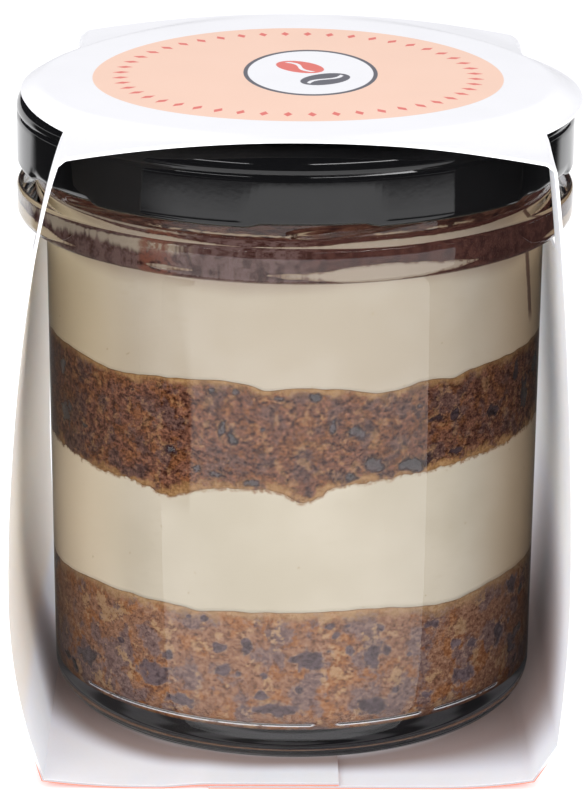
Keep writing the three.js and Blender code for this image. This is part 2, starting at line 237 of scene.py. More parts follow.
def jar_profile():
    shoulder = COLLAR_TOP - COLLAR_SLOPE - COLLAR_ROUND
    heel, collar = BASE_RADIUS - HEEL, COLLAR_RADIUS - COLLAR_EDGE
    collar_foot, floor_edge = COLLAR_BOTTOM + 0.2, FLOOR_HEIGHT + FLOOR_CORNER
    return [
        (PUNT_RADIUS * 0.4, JAR_BASE + PUNT_HEIGHT * 0.97),
        (PUNT_RADIUS * 0.8, JAR_BASE + PUNT_HEIGHT * 0.8),
        (PUNT_RADIUS - 0.8, JAR_BASE + 0.2),
        (PUNT_RADIUS + 0.4, JAR_BASE),
        (heel, JAR_BASE),
        *arc(heel, JAR_BASE + HEEL, HEEL, -90, 0, 18),
        (BASE_RADIUS + (BODY_RADIUS - BASE_RADIUS) * 0.5, 42.0),
        (BODY_RADIUS, COLLAR_BOTTOM - 2.2),
        *arc(BODY_RADIUS + 1.0, COLLAR_BOTTOM - 0.8, 1.0, -180, -270, 5),
        (collar, collar_foot),
        *arc(collar, collar_foot + COLLAR_EDGE, COLLAR_EDGE, -90, 0, 14),
        (COLLAR_RADIUS, shoulder - 1.5),
        (COLLAR_RADIUS, shoulder),
        *arc(COLLAR_RADIUS - COLLAR_ROUND, shoulder, COLLAR_ROUND, 0, 82, 9),
        (NECK_RADIUS + 1.2, COLLAR_TOP - 0.12),
        (NECK_RADIUS + 0.5, COLLAR_TOP - 0.02),
        *arc(NECK_RADIUS + 0.4, COLLAR_TOP + 0.4, 0.4, -90, -180, 5),
        *[(NECK_RADIUS, z) for z in np.arange(COLLAR_TOP + 0.6, JAR_TOP - 7.0, 0.2)],
        (NECK_RADIUS, JAR_TOP - 1.0),
        *arc(NECK_RADIUS - 1.0, JAR_TOP - 1.0, 1.0, 0, 90, 5),
        *arc(BORE_RADIUS + 0.9, JAR_TOP - 0.9, 0.9, 90, 180, 5),
        (BORE_RADIUS, 84.0),
        (BORE_RADIUS, floor_edge),
        *arc(BORE_RADIUS - FLOOR_CORNER, floor_edge, FLOOR_CORNER, 0, -90, 12),
        (PUNT_RADIUS * 0.4, FLOOR_HEIGHT),
    ]


def ridges(radius, height, at):
    """The fine seam that the two halves of the mould leave, and the ramps of the neck."""
    seam = sum(np.exp(-(((at - bearing) / SEAM_WIDTH) ** 2)) for bearing in SEAM_BEARINGS)
    outside = (radius > BODY_RADIUS - 1.2) & (height < COLLAR_TOP) & (height > JAR_BASE + HEEL)
    seam_height = np.where(radius > COLLAR_RADIUS - 0.4, SEAM_ON_COLLAR, SEAM_ON_WALL)
    along = np.mod(at - RAMP_START, 360 / RAMPS)
    middle = RAMP_LOW + RAMP_RISE * along / RAMP_TURN
    ends = np.clip(along / 3, 0, 1) * np.clip((RAMP_TURN - along) / 3, 0, 1)
    ramp = RAMP_HEIGHT * np.exp(-(((height - middle) / RAMP_HALF) ** 2)) * ends
    return seam * outside * seam_height + ramp * (abs(radius - NECK_RADIUS) < 0.1)


def clear_glass():
    """Glass with a faint ripple, which lets the lamps' light and soft light through."""
    material, start, place = new_material("clear_glass")
    ripple = place.clouds(7.0, detail=1.0)
    more = {"IOR": 1.5, "Transmission Weight": 1.0}
    glass = coat(start, (0.985, 0.995, 0.99), 0.0, ripple, strength=0.06, depth=0.0004, more=more)
    clear = start.node("ShaderNodeBsdfTransparent", {}, {"Color": (0.97, 0.985, 0.98)})
    through = start.ray("shadow").math("MAXIMUM", start.ray("diffuse"))
    cover(start, start.node("ShaderNodeMixShader", {}, {0: through, 1: glass, 2: clear}))
    return material


points, faces = turned(jar_profile(), round_about(SEAM_BEARINGS), ridges)
piece("jar", points, faces, [clear_glass()], "glass_jar")


# LOWER SPONGE
# Sponge fingers soaked in coffee and pressed into the jar, so that their crumb lies
# against the glass in patches, with pockets of air between and a pale skin on top.
INTO_WALL = 0.15
REACH = BORE_RADIUS + INTO_WALL
AROUND = 640
FOOD_FOOT, SPONGE_LOWER_TOP = 6.35, 26.3
HOLLOW, PRESSED_FLAT = 0.4, 50
GROOVE_HEIGHT, GROOVE_DEPTH, GROOVE_HALF, GROOVE_END = 7.7, 0.5, 0.3, 60
GROOVE_BRIDGES = ((7.5, 3.0), (34.5, 2.2))
DULL = {"Specular IOR Level": 0.0}


def turn_between(a, b):
    return (a - b + 540) % 360 - 180


def sags(places, at):
    """How far an edge sags at a bearing, from a list of bearing, depth and half width."""
    return -sum(depth * np.exp(-((turn_between(at, place) / half) ** 2)) for place, depth, half in places)


def ragged(at, size, seed):
    """Unevenness from -1 to 1 along an edge, with steps of about this many millimetres."""
    a = np.radians(at)
    spots = np.stack([np.sin(a) * REACH / size, -np.cos(a) * REACH / size, np.full_like(a, seed)], 1)
    return np.array([noise.noise(Vector(spot)) for spot in spots])


def grain(points, size, seed):
    """Noise from -1 to 1 at points in millimetres, with blotches about this many across."""
    return np.array([noise.noise(Vector(spot)) for spot in np.asarray(points) / size + seed])


def lower_sponge_edge(at):
    broad = 0.3 * np.sin(np.radians(3 * at) + 0.6)
    broad += sags([(38, 1.2, 13), (-78, 1.4, 16), (-23, 0.5, 4), (125, 1.1, 12), (-150, 1.3, 11)], at)
    return SPONGE_LOWER_TOP + broad + 0.16 * ragged(at, 2.6, 3.1)


def on_the_wall(at, height):
    a = np.radians(at)
    return np.stack([REACH * np.sin(a), -REACH * np.cos(a), height], -1)


def layer(
    name, low, high, steps, hollows, material, node, rings=(35.6, 30.0, 18.0, 6.0), settled=None,
):
    """A layer of food. Its wall runs from one edge to another, and hollows dents it.
    Where it is smeared up the glass, settled is the edge that its top comes down to."""
    at = np.linspace(-180, 180, AROUND, endpoint=False)
    bottom, top = low(at), high(at)
    share = np.linspace(0, 1, steps + 1)[:, None]
    height = bottom + (top - bottom) * share
    everywhere = np.broadcast_to(at, height.shape)
    spots = on_the_wall(everywhere, height)
    measures = (part.ravel() for part in (everywhere, height, height - bottom, top - height))
    depth, marks = hollows(spots.reshape(-1, 3), *measures)
    scale = 1 - depth.reshape(height.shape) / REACH
    wall = spots * np.stack([scale, scale, np.ones_like(scale)], 2)
    inner_top = top if settled is None else settled(at)
    mean_low, mean_high = bottom.mean(), inner_top.mean()

    def disc(edge, mean, radius):
        a = np.radians(at)
        lift = mean + (edge - mean) * (radius / REACH) ** 4
        return np.stack([radius * np.sin(a), -radius * np.cos(a), lift], 1)[None]

    below = [disc(bottom, mean_low, r) for r in reversed(rings)]
    above = [disc(inner_top, mean_high, r) for r in rings]
    points, faces = closed_skin(np.concatenate([*below, wall, *above]), mean_low, mean_high)
    flat = np.zeros(len(rings) * AROUND)
    marks = {label: np.concatenate([flat, values, flat, [0, 0]]) for label, values in marks.items()}
    piece(name, points, faces, [material], node, crease=180, marks=marks)


def pockets(places, points, at, height, seed):
    """Air pockets between crumb and glass, at places given as bearing, height and half
    sizes across and up: 0 on the crumb to 1 in a pocket."""
    warp_1 = grain(points, 1.3, seed)
    warp_2 = grain(points, 0.55, seed + 7)
    best = np.full(len(at), 9.0)
    for bearing, z, half_width, half_height in places:
        across = np.radians(turn_between(at, bearing)) * REACH
        near = np.hypot(across / half_width, (height - z) / half_height)
        best = np.minimum(best, near)
    rim = best + 0.75 * warp_1 + 0.4 * warp_2
    return 1 - np.clip((rim - 0.6) / 0.7, 0, 1)


def air_gap(pocket, at):
    """How deep a pocket dents the crumb: less in front, where it was pressed flat."""
    return HOLLOW * np.clip(2 * pocket - 1, 0, 1) * np.where(np.abs(at) > PRESSED_FLAT, 1, 0.5)


def scattered(count, low, high, seed, skip):
    """More pockets on the sides and back, by bearing, height and half sizes."""
    draw = np.random.default_rng(seed)
    made = []
    while len(made) < count:
        bearing = draw.uniform(-180, 180)
        if abs(bearing) > skip:
            size, height = draw.uniform(0.5, 1.8), draw.uniform(low, high)
            made.append((bearing, height, size * draw.uniform(0.8, 1.6), size * draw.uniform(0.5, 1.0)))
    return made


LOWER_POCKETS = [
    (-25.7, 24.4, 0.5, 0.4), (-21.6, 24.5, 0.6, 0.5), (-31.1, 17.4, 1.1, 0.7), (-35, 13.8, 2.6, 1.6),
    (-17.7, 20.1, 1.1, 0.8), (-11.4, 20.8, 0.8, 1), (-17.2, 16.5, 1.3, 1), (3.6, 18.8, 2.4, 1.6),
    (-7.1, 16.1, 0.6, 0.5), (-8, 12.8, 1.1, 0.7), (-27.8, 10.5, 2.6, 1), (-4.3, 10.6, 3.6, 1.2),
    (-59, 12.6, 2.8, 1.7), (18.9, 18.8, 1.4, 1.8), (22.2, 19.5, 0.7, 0.7), (12.5, 24, 0.5, 0.3),
    (13, 20.1, 0.6, 0.7), (20.3, 23.2, 0.6, 0.7), (34.2, 22.4, 1.3, 0.8), (44.6, 12.4, 2.4, 1.3),
    (18.6, 10.6, 2.1, 1.5), (24.6, 12.6, 0.7, 0.5), (41.7, 17.9, 1, 0.7), (47.9, 17.2, 1.1, 0.7),
    (33.4, 10.6, 0.9, 0.7), (58.6, 16.7, 1.2, 2), (8.7, 24.2, 0.7, 0.5), (9.6, 22.6, 0.5, 0.6),
    (28.2, 18.2, 0.4, 0.4), (-13.3, 16.1, 0.5, 0.4), (1.3, 13.9, 0.6, 0.6), (-45.6, 17.7, 0.9, 0.6),
]


def lower_sponge_hollows(points, at, height, above_foot, below_top):
    """Soft pockets, the rounded foot that fills the jar's corner, and a groove above it,
    which the crumb bridges here and there."""
    pocket = pockets(LOWER_POCKETS + scattered(70, 9, 24.5, 5, 62), points, at, height, 11.0)
    beyond = np.maximum(0, FLOOR_CORNER + FOOD_FOOT - height)
    corner = FLOOR_CORNER - np.sqrt(np.maximum(0, FLOOR_CORNER**2 - beyond**2))
    bridge = sum(np.exp(-((turn_between(at, place) / half) ** 4)) for place, half in GROOVE_BRIDGES)
    groove = GROOVE_DEPTH * np.exp(-(((height - GROOVE_HEIGHT) / GROOVE_HALF) ** 2))
    groove = groove * (1 - np.clip(bridge, 0, 1)) * (np.abs(at) < GROOVE_END)
    marks = {"pocket": pocket, "under": below_top, "over": above_foot + 9, "glint": groove / GROOVE_DEPTH}
    return corner + np.maximum(groove, 0.6 * air_gap(pocket, at)), marks


def painted(base, *coats):
    """A colour with coats over it, each given by its share and its colour."""
    for share, colour in coats:
        base = share.between(base, colour)
    return base


def crumb(name, tones, patch, skin_depth, crumbs, halo, offset):
    """Soaked crumb: a fine dark and light mottle in three hues that lie in patches, a
    pale skin under the top edge, loose crumbs at the foot, and pockets of air painted dim
    with shade, with a greyer halo round them and a painted highlight on their rims.
    Painted shade darkens the right side. The groove's face is painted with a bright
    highlight, and the under face with rings of painted reflection from the jar's foot."""
    material, start, place = new_material(name)
    x, y, z = place.parts()
    pocket, under, over, glint = (start.mark(label) for label in ("pocket", "under", "over", "glint"))
    first = place.clouds(patch, detail=6.0, roughness=0.62, offset=(11, offset[1], 5))
    second = place.clouds(patch * 1.2, detail=6.0, roughness=0.62, offset=(offset[2], 20, 3))
    third = place.clouds(patch * 0.7, detail=5.0, roughness=0.6, offset=(40, offset[0], 2))
    mottle = place.clouds(1.1, detail=4.0, roughness=0.72, offset=(1, 7, offset[2]), stretch=(1, 1, 1.5))
    grit = place.clouds(0.42, detail=3.0, roughness=0.7, offset=(2, 3, 8))
    uneven = mottle - 0.5
    fleck = (mottle * 0.65 + grit * 0.35).rise(0.38, 0.62)
    plain, rust, grey, pale = (fleck.between(*tones[hue]) for hue in ("plain", "rust", "grey", "pale"))
    skin = under + (first - 0.5) * skin_depth * 3 + uneven * skin_depth * 2
    fringe = 1 - (over + (second - 0.5) * 9 + uneven * 3).rise(0.1, 1.3)
    hollow = pocket + uneven * 1.3 + (grit - 0.5) * 0.5
    rim = hollow.rise(0.1, 0.32) * hollow.rise(0.6, 0.4) * grit.rise(0.42, 0.58)
    air = (first * 0.4 + mottle * 0.6).rise(0.4, 0.6).between(*tones["air"])
    rings = ((x * x + y * y) ** 0.5 * 0.9).math("SINE")
    painted_foot_bands = rings.rise(-0.8, 0.8).between(srgb(92, 92, 98), srgb(206, 202, 202))
    base = painted(
        plain,
        ((first + uneven * 0.15).rise(0.5, 0.56) * 0.9, rust),
        ((second + uneven * 0.15).rise(0.5, 0.57) * 0.9, grey),
        ((third + uneven * 0.3).rise(0.57, 0.62) * crumbs, pale),
        ((grit * 0.5 + mottle * 0.5).rise(0.42, 0.35) * 0.75, tones["pit"]),
        ((1 - skin.rise(0.0, skin_depth)) * 0.95, pale),
        (under.rise(0.2, 0.04) * 0.35, tones["pit"]),
        # Painted shade: darker towards the right side.
        (x.rise(8, 26) * 0.3, tones["pit"]),
        (fringe * 0.75, pale),
        (hollow.rise(0.0, 0.5) * halo, grey),
        # Painted highlight on the rims of the pockets.
        (rim * 0.3, tones["pale"][1]),
        # Painted shade: the pockets of air are painted dim, as shade in their recess.
        (hollow.rise(0.24, 0.85) * 0.85, air),
        # Painted reflection: rings on the under face stand for the bands seen in the jar's thick foot.
        ((1 - z.rise(FOOD_FOOT + 0.01, FOOD_FOOT + 0.15)) * 0.9, painted_foot_bands),
        # Painted highlight in the groove at the foot, where the glass corner catches light.
        (glint.rise(0.2, 0.7) * (first + mottle - 0.5).rise(0.3, 0.45), srgb(214, 216, 222)),
    )
    cover(start, coat(start, base, mottle * 0.3 + 0.45, mottle + grit, strength=0.6, depth=0.0002, more=DULL))
    return material


soaked_crumb = crumb("soaked_crumb", {
    "plain": (srgb(90, 60, 46), srgb(138, 102, 80)), "rust": (srgb(98, 58, 34), srgb(142, 96, 60)),
    "grey": (srgb(76, 60, 60), srgb(114, 94, 90)), "pale": (srgb(128, 98, 70), srgb(160, 130, 98)),
    "air": (srgb(50, 41, 45), srgb(86, 74, 78)), "pit": srgb(52, 32, 26),
}, patch=4.6, skin_depth=1.9, crumbs=0.7, halo=0.8, offset=(3, 9, 1))
layer(
    "lower_sponge_layer", lambda at: FOOD_FOOT + 0 * at, lower_sponge_edge, 84, lower_sponge_hollows,
    soaked_crumb, "sponge_lower", rings=(31.5, 26.0, 14.0, 6.0),
)


# LOWER CREAM
# Whipped mascarpone cream, spooned on the sponge and pressed flat against the glass,
# where its smooth face shows a few pinholes and faint smears.
CREAM_LOWER_TOP = 46.7


def lower_cream_edge(at):
    places = [(-31, 2.1, 8), (2, 2.5, 5), (-50, 0.8, 9), (110, 1.6, 9), (-135, 1.8, 8), (170, 1.4, 7)]
    broad = 1.7 * np.sin(np.radians(at - 8)) + sags(places, at)
    return CREAM_LOWER_TOP + broad + 0.35 * ragged(at, 1.7, 8.3) + 0.3 * ragged(at, 0.7, 4.9)


def smooth_face(points, at, height, above_foot, below_top):
    return np.zeros(len(at)), {"under": below_top}


def whipped_cream(name, dim, bright, left, stain, reach, haze=0.0, drip=None):
    """Cream with faint smears and pinholes. Painted light makes it lighter at its left
    side, and painted warm shade makes it browner at its right. What lies on it has stained
    its top edge, with a thin haze below that and in one place a drip, given as bearing,
    top, foot and lean."""
    material, start, place = new_material(name)
    x, y, z = place.parts()
    under = start.mark("under")
    broad = place.clouds(14.0, detail=2.0)
    streak = place.clouds(3.0, detail=3.0, stretch=(1, 1, 3.0), offset=(5, 5, 5))
    fine = place.clouds(0.7, detail=5.0, roughness=0.75, offset=(8, 1, 4))
    pinhole = place.clouds(1.1, detail=1.0, offset=(31, 17, 2)).rise(0.77, 0.81)
    crumbs = 1 - (under + (fine - 0.5) * reach * 4 + (streak - 0.5) * reach * 3).rise(0, reach)
    base = painted(
        broad.rise(0.3, 0.7).between(dim, bright),
        (streak.rise(0.5, 0.8) * 0.4, dim),
        # Painted light on the left side, painted warm shade on the right.
        (1 - x.rise(-36, -22), left),
        (x.rise(25, 37), srgb(174, 151, 123)),
        (pinhole * 0.6, srgb(138, 122, 96)),
        (crumbs * 0.85, fine.rise(0.4, 0.6).between(stain, srgb(150, 130, 104))),
    )
    if haze:
        base = painted(base, (under.rise(4.5, 1.5) * haze, stain))
    if drip:
        bearing, top, foot, lean = drip
        turn = x.math("ARCTAN2", y * -1) * (180 / math.pi)
        line = abs(turn - bearing - (top - z) * lean) + (fine - 0.5) * 1.5
        base = painted(base, ((1 - line.rise(0.7, 1.6)) * z.rise(foot, foot + 3) * 0.9, stain))
    cover(start, coat(start, base, streak * 0.2 + 0.4, streak, strength=0.15, depth=0.0002, more=DULL))
    return material


crumbed_cream = whipped_cream(
    "crumbed_cream", dim=srgb(163, 153, 137), bright=srgb(171, 161, 146), left=srgb(216, 200, 176),
    stain=srgb(118, 82, 56), reach=0.5,
)
layer(
    "lower_cream_layer", lower_sponge_edge, lower_cream_edge, 30, smooth_face, crumbed_cream,
    "cream_lower",
)


# UPPER SPONGE
# A second layer of sponge with less coffee in it: browner and finer in its crumb,
# ragged where it settled into the cream, with fewer and larger air pockets.
SPONGE_UPPER_TOP = 62.1

UPPER_POCKETS = [
    (-17.3, 55.4, 0.8, 1.3), (-15.1, 53.9, 0.8, 1.4), (-30.4, 50.7, 1.2, 1), (-18.2, 47.9, 1.1, 0.6),
    (-10.6, 47.1, 1.6, 0.6), (-14.2, 61.2, 0.5, 0.6), (-19.7, 61, 0.6, 0.5), (4, 60.7, 0.9, 0.7),
    (-4.2, 60.4, 0.7, 0.4), (-68.7, 51, 1.9, 2), (-70.4, 57.9, 1.2, 1.3), (-59, 50.5, 0.9, 0.5),
    (14.3, 54.8, 1.4, 1.3), (8.4, 56, 0.6, 1.2), (17.8, 49.4, 1.9, 1.3), (12.5, 48, 1.4, 0.8),
    (28.4, 49, 2.7, 1.3), (34.8, 55.5, 1.3, 0.6), (39.6, 55.2, 0.9, 1), (29.8, 57.9, 0.7, 0.6),
    (53.6, 54.1, 1.6, 1), (40.4, 49.5, 1.4, 0.6), (68.9, 54.2, 1.4, 3), (63.6, 58.8, 0.9, 1.6),
    (-23.6, 48.4, 0.8, 0.6), (0.9, 52.2, 0.4, 0.5), (-7.9, 55.5, 0.4, 0.4), (-40.9, 59, 0.6, 0.3),
]


def upper_sponge_edge(at):
    front = [(-48, 0.8, 9), (-18, -0.7, 9), (-7, 0.6, 3), (21, 1.3, 8), (39, 0.7, 4)]
    places = front + [(120, 1, 12), (-120, 0.9, 10)]
    return SPONGE_UPPER_TOP + sags(places, at) + 0.18 * ragged(at, 2.2, 6.4)


def upper_sponge_hollows(points, at, height, above_foot, below_top):
    pocket = pockets(UPPER_POCKETS + scattered(45, 48, 60.5, 9, 74), points, at, height, 31.0)
    marks = {"pocket": pocket, "under": below_top, "over": above_foot, "glint": 0 * pocket}
    return air_gap(pocket, at), marks


coffee_crumb = crumb("coffee_crumb", {
    "plain": (srgb(44, 23, 18), srgb(116, 77, 60)), "rust": (srgb(50, 26, 15), srgb(118, 75, 47)),
    "grey": (srgb(42, 27, 27), srgb(96, 71, 64)), "pale": (srgb(120, 87, 54), srgb(152, 119, 82)),
    "air": (srgb(18, 13, 16), srgb(46, 37, 42)), "pit": srgb(36, 19, 13),
}, patch=3.0, skin_depth=1.5, crumbs=0.35, halo=0.3, offset=(8, 3, 6))
layer(
    "upper_sponge_layer", lower_cream_edge, upper_sponge_edge, 46, upper_sponge_hollows, coffee_crumb,
    "sponge_upper",
)


# UPPER CREAM
# The deepest layer of the same cream, spooned on last and levelled on top, where the
# cocoa lies. Some of the cocoa has run down the glass over it.
CREAM_UPPER_TOP = 81.4


def upper_cream_edge(at):
    places = [(-48, 1.5, 20), (-12, 1.4, 15), (4, 0.5, 7), (55, 2.1, 22)]
    broad = 0.2 * np.sin(np.radians(2 * at)) + sags(places, at)
    return CREAM_UPPER_TOP + broad + 0.22 * ragged(at, 3.0, 12.1)


dusted_cream = whipped_cream(
    "dusted_cream", dim=srgb(154, 142, 126), bright=srgb(161, 150, 136), left=srgb(194, 177, 149),
    stain=srgb(84, 58, 50), reach=0.25, haze=0.35, drip=(66.5, 81.0, 64.5, 0.35),
)
layer(
    "upper_cream_layer", upper_sponge_edge, upper_cream_edge, 34, smooth_face, dusted_cream,
    "cream_upper",
)


# COCOA
# Cocoa powder dusted on the cream through a sieve. It has drunk up moisture at the
# glass, where it has turned dark, and a thin brown smear of it runs up the neck.
COCOA_TOP = 84.4


def cocoa_edge(at):
    a = np.radians(at)
    return COCOA_TOP + 0.3 * np.sin(3 * a + 1) + 0.2 * np.sin(5 * a) + 0.25 * ragged(at, 2.4, 17.7)


def smear_edge(at):
    gaps = sags([(-74, 3.2, 20), (78, 2.6, 14), (150, 2.4, 24), (-140, 3.0, 20)], at)
    return COCOA_TOP + 5.0 + gaps + 0.5 * ragged(at, 3.6, 5.5) + 0.3 * ragged(at, 0.9, 9.5)


def cocoa_powder():
    """Dark damp powder with lighter dust, mauve, milky and rusty stretches at the glass,
    and above it the smear up the neck with a pale streak along its foot."""
    material, start, place = new_material("cocoa_powder")
    x, _, z = place.parts()
    clump = place.clouds(1.4, detail=5.0, roughness=0.7)
    dust = place.clouds(0.3, detail=3.0, roughness=0.7, offset=(4, 4, 9))
    drag = place.clouds(2.6, detail=5.0, roughness=0.65, offset=(9, 2, 4), stretch=(1, 1, 3.4))
    drip = place.clouds(2.2, detail=3.0, roughness=0.55, offset=(3, 8, 1), stretch=(1, 1, 0.25))
    below_smear = 1 - z.rise(COCOA_TOP - 0.9, COCOA_TOP - 0.4)
    mauve = (1 - x.rise(-2, 5)) * below_smear * clump.rise(0.4, 0.6) * 0.6
    milky = (1 - x.rise(-17, -14)) * (z + (drip - 0.5) * 4).rise(CREAM_UPPER_TOP + 0.1, CREAM_UPPER_TOP + 1.2)
    milky = milky * (1 - z.rise(COCOA_TOP - 0.2, COCOA_TOP + 0.4))
    rust = x.rise(-22.5, -21.5) * (1 - x.rise(-19, -16)) * below_smear
    smear = painted(
        drag.rise(0.34, 0.66).between(srgb(38, 22, 19), srgb(76, 46, 36)),
        (drag.rise(0.5, 0.6) * dust.rise(0.4, 0.6) * 0.35, srgb(104, 78, 64)),
    )
    streaked = x.rise(-22, -20) * (1 - x.rise(1, 3))
    for left, right in ((11.0, 16.0), (18.6, 24.8)):
        stretch = x.rise(left - 0.5, left + 0.5) * (1 - x.rise(right - 1, right + 1))
        streaked = streaked.math("MAXIMUM", stretch)
    line = abs(z - (COCOA_TOP + 1.2) - (clump - 0.5) * 0.9).rise(0.06, 0.2)
    streak = (1 - line) * (drag + 0.02).rise(0.44, 0.5)
    base = painted(
        clump.rise(0.35, 0.68).between(srgb(46, 27, 24), srgb(74, 46, 40)),
        (dust.rise(0.55, 0.7) * 0.35, srgb(104, 72, 60)),
        (mauve, srgb(92, 76, 74)),
        (milky * drip.rise(0.36, 0.5) * 0.85, srgb(138, 126, 112)),
        (rust * clump.rise(0.4, 0.55) * 0.8, srgb(96, 56, 42)),
        (z.rise(COCOA_TOP + 0.2, COCOA_TOP + 0.7), smear),
        (streak * streaked * 0.8, srgb(146, 130, 108)),
    )
    relief = clump + dust * 0.5
    cover(start, coat(start, base, dust * 0.2 + 0.7, relief, strength=0.8, depth=0.0003, more=DULL))
    return material


layer(
    "cocoa_dusting", upper_cream_edge, smear_edge, 26, smooth_face, cocoa_powder(), "cocoa_layer",
    rings=(36.3, 35.4, 30.0, 18.0, 6.0), settled=cocoa_edge,
)


# LID
# A twist-off lid pressed from tinplate and baked with black lacquer. Its rim is
# rolled inwards, and pressed flat at six places to make the lugs that hold the jar.
LID_RADIUS, LID_BOTTOM, LID_TOP = 43.2, 88.0, 99.8
LID_FLAT, LID_SHOULDER, LID_BEAD, TINPLATE = 39.8, 3.1, 0.85, 0.8
LUGS, LUG_BEARING, LUG_WIDTH, LUG_PRESS = 6, 3.0, 26.0, 0.4


def soft_step(t):
    k = np.clip(t, 0, 1)
    return k * k * (3 - 2 * k)


def lid_profile():
    skirt_top = LID_TOP - LID_SHOULDER
    inner = LID_RADIUS - TINPLATE
    return [
        (12.0, LID_TOP - 0.5),
        (36.0, LID_TOP - 0.5),
        (36.6, LID_TOP - 0.42),
        (37.4, LID_TOP - 0.15),
        (38.2, LID_TOP),
        (LID_FLAT, LID_TOP),
        *arc(LID_FLAT, skirt_top, LID_RADIUS - LID_FLAT, 90, 0, 14, up=LID_SHOULDER),
        (LID_RADIUS - 0.12, skirt_top - 0.25),
        (LID_RADIUS - 0.25, skirt_top - 0.5),
        (LID_RADIUS - 0.12, skirt_top - 0.75),
        (LID_RADIUS, skirt_top - 1.0),
        (LID_RADIUS, skirt_top - 1.6),
        (LID_RADIUS, LID_BOTTOM + 2.6),
        (LID_RADIUS, LID_BOTTOM + 1.5),
        *arc(LID_RADIUS - LID_BEAD, LID_BOTTOM + LID_BEAD, LID_BEAD, 20, -170, 18),
        (LID_RADIUS - 1.9, LID_BOTTOM + 1.4),
        (inner - 0.6, LID_BOTTOM + 2.1),
        (inner, LID_BOTTOM + 2.6),
        (inner, skirt_top),
        *arc(inner - 2.4, skirt_top, 2.4, 0, 90, 6, up=1.8),
        (12.0, LID_TOP - 1.3),
    ]


def press_lugs(radius, height, at):
    """How far the rolled rim is pressed in, and up, at each lug."""
    reach = soft_step((LID_BOTTOM + 2.0 - height) / 1.6)
    offset = np.abs(turn_between((at - LUG_BEARING) * LUGS, 0)) / LUGS
    inside = soft_step((LUG_WIDTH / 2 - offset) / 2.5)
    return LUG_PRESS * reach * inside * (radius > 30)


def lacquer():
    """Baked lacquer, almost black, with a fine orange peel and faint scuffs."""
    material, start, place = new_material("black_lacquer")
    peel = place.clouds(0.9, detail=2.0)
    scuff = place.clouds(5.0, detail=5.0, roughness=0.7, offset=(7, 1, 3))
    base = scuff.rise(0.5, 0.8).between(srgb(11, 11, 12), srgb(16, 16, 17))
    cover(start, coat(start, base, scuff * 0.06 + 0.04, peel, strength=0.03, depth=0.00005))
    return material


points, faces = turned(lid_profile(), round_about(), lambda r, z, at: -press_lugs(r, z, at))
# The profile starts on top, so its faces come out inside out.
faces = [face[::-1] for face in faces]
about = np.degrees(np.arctan2(points[:, 0], -points[:, 1]))
points[:, 2] += press_lugs(np.hypot(points[:, 0], points[:, 1]), points[:, 2], about)
piece("twist_off_lid", points, faces, [lacquer()], "lid")


# CARD SLEEVE
# One strip of coated card, printed on its outside. It passes over the lid, where a
# round ear stays flat beside each fold, down both sides and under the jar, where
# its ends lap and are glued.
CARD, GLUE = 0.44, 0.08
HALF_DEPTH = 43.0
EAR_RADIUS = 48.4
# Of each side panel: how far across its ear, its fold and its two bends lie, with their
# heights, and how its top corners droop, its belly tucks in and its shoulder curves.
LEFT = {
    "side": -1, "ear": -42.4, "fold": -33.8, "droop": 0.0, "shoulder": 0.65,
    "belly": (-43.2, 31), "tuck": 2.0, "knee": (-40.3, 8.2), "foot": (-38.2, 1.3),
}
RIGHT = {
    "side": 1, "ear": 44.3, "fold": 36.0, "droop": 0.45, "shoulder": 0.5,
    "belly": (41.4, 31), "tuck": 0.0, "knee": (40.1, 7.1), "foot": (36.4, 1.4),
}
FLAP_EDGE, LAP_END, LAP_RISE, FLAT_REACH = 6.8, -13.0, 8.0, 22.0
TOP_HEIGHT, TOP_FALL = 101.25, 0.8
EAR_FALL, EAR_FROM, EAR_WIDTH = 2.05, 39.5, 4.6
CORNER_FROM, CORNER_WIDTH = 43, 9
CREASE_OUT, CREASE_DOWN = 1.2, 1.0
FOLD_BOW, BELLY_BOW = 1.2, 0.3
HOLE_CORNER_HEIGHT, HOLE_DROP = 82.3, 5.0
FOLD_ROUND, FOLD_ROUND_RUN = 0.35, 1.5
PRINT_LOWEST, DISC_CENTRE, DISC_RADIUS = 95.0, (0.33, 0.35), 31.8
PRINT_MARKS, MARK_RING = 48, 27.5
BADGE_CENTRE, BADGE_HALVES, BEAN_HALVES = (2.25, 0.55), (10.4, 15.7), (3.1, 4.7)
SHADE_START, SHADE_WIDTH = 34.5, 4.5


def inwards(y):
    """How far a place is from the open ends of the sleeve: 1 midway, 0 at an end."""
    return 1 - np.minimum(1, np.abs(y) / HALF_DEPTH) ** 2


def top_height(x, y):
    """The top lies on the lid and bends down at its ears and its four corners."""
    fold = np.where(x < 0, LEFT["fold"], RIGHT["fold"])
    droop = np.where(x < 0, LEFT["droop"], RIGHT["droop"])
    across = np.minimum(1, (x / fold) ** 2)
    radius = np.hypot(x, y)
    ear = EAR_FALL * soft_step((radius - EAR_FROM) / EAR_WIDTH)
    corner = droop * soft_step((radius - CORNER_FROM) / CORNER_WIDTH)
    return TOP_HEIGHT - across * (TOP_FALL + ear + corner)


def top_at(x, y):
    return float(top_height(np.float64(x), y))


def fold_x(panel, y):
    return panel["fold"] + panel["side"] * FOLD_BOW * inwards(y)


def ear_rim(panel, y):
    return panel["ear"] - panel["side"] * (EAR_RADIUS - np.sqrt(EAR_RADIUS**2 - y**2))


def hole_half(panel):
    """Half width of the hole in a side, where the rim of its ear meets the fold."""
    low, high = 0.0, EAR_RADIUS
    for _ in range(30):
        middle = (low + high) / 2
        outside = (ear_rim(panel, middle) - fold_x(panel, middle)) * panel["side"] > 0
        low, high = (middle, high) if outside else (low, middle)
    return low


def bend(t, start, corner, end):
    """A curve that leaves its start and reaches its end straight towards a corner."""
    return (1 - t) ** 2 * start + 2 * t * (1 - t) * corner + t**2 * end


